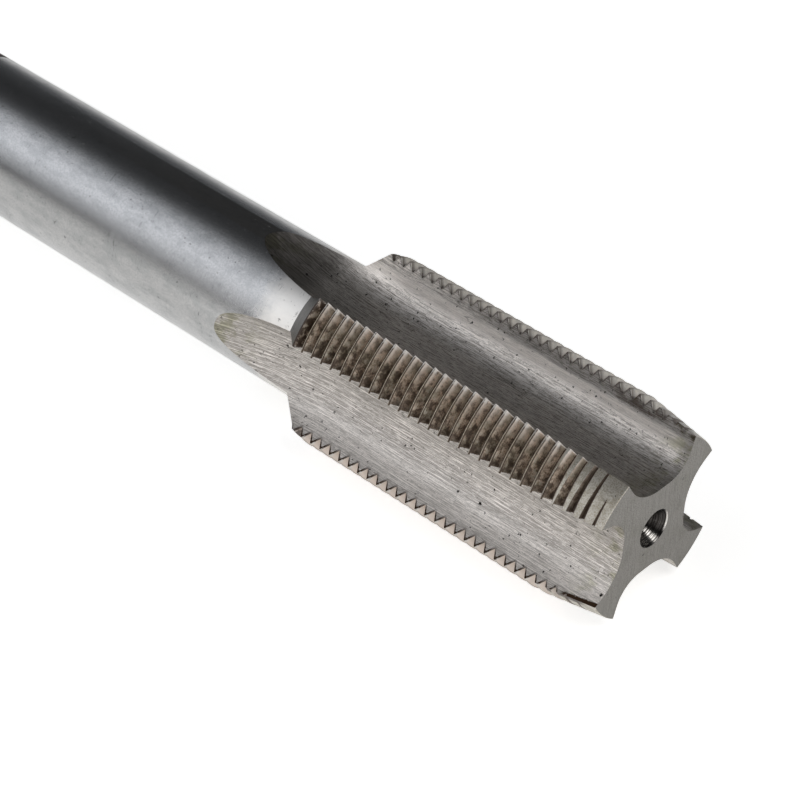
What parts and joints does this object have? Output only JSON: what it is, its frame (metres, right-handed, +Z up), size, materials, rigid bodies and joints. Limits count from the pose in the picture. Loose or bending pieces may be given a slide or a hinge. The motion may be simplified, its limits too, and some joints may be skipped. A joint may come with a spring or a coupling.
{
  "type": "thread tap",
  "caption": "Hand tap that cuts an internal metric fine thread: straight flutes, short ground lead, centre holes, and a round shank with a driving square.",
  "frame": {"origin": "centre of the flat face at the threaded tip", "axes": "+X along the tool's axis from the tip to the driving square; Y and Z point out of two of its flutes, and +Z is up as it lies on a bench"},
  "size_m": [0.13, 0.0218, 0.0218],
  "materials": {
    "tool_steel": "ground high-speed steel: satin shank and flutes, brownish cut thread flanks, bright crests"
  },
  "bodies": {
    "root": {"tap": "tool_steel"}
  },
  "joints": []
}
